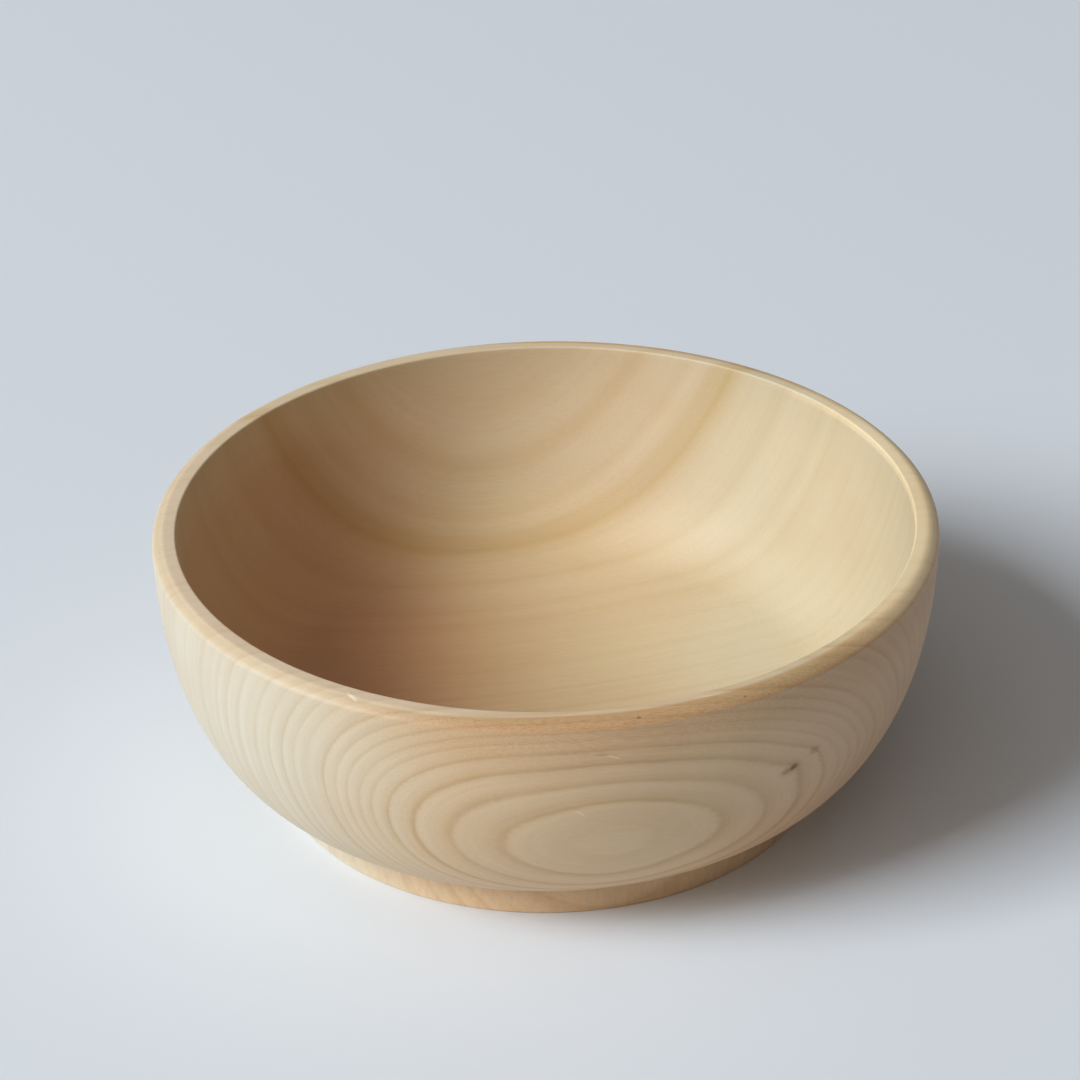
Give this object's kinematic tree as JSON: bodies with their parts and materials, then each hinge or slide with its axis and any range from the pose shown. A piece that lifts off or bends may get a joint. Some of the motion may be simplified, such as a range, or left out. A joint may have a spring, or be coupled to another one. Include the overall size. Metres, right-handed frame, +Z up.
{
  "type": "bowl",
  "caption": "Round wooden bowl turned from one blank, with a full curved wall, a bevelled rim and a low foot ring.",
  "frame": {"origin": "centre of the foot, on the surface that the bowl stands on", "axes": "+Z up along the lathe axis, through the mouth of the bowl; -Y faces the camera of the picture and +X is to its right"},
  "size_m": [0.15, 0.15, 0.0554],
  "materials": {
    "turned_wood": "pale close-grained wood with growth rings, sanded smooth and left unvarnished, with a soft dull sheen"
  },
  "bodies": {
    "root": {"bowl": "turned_wood"}
  },
  "joints": []
}
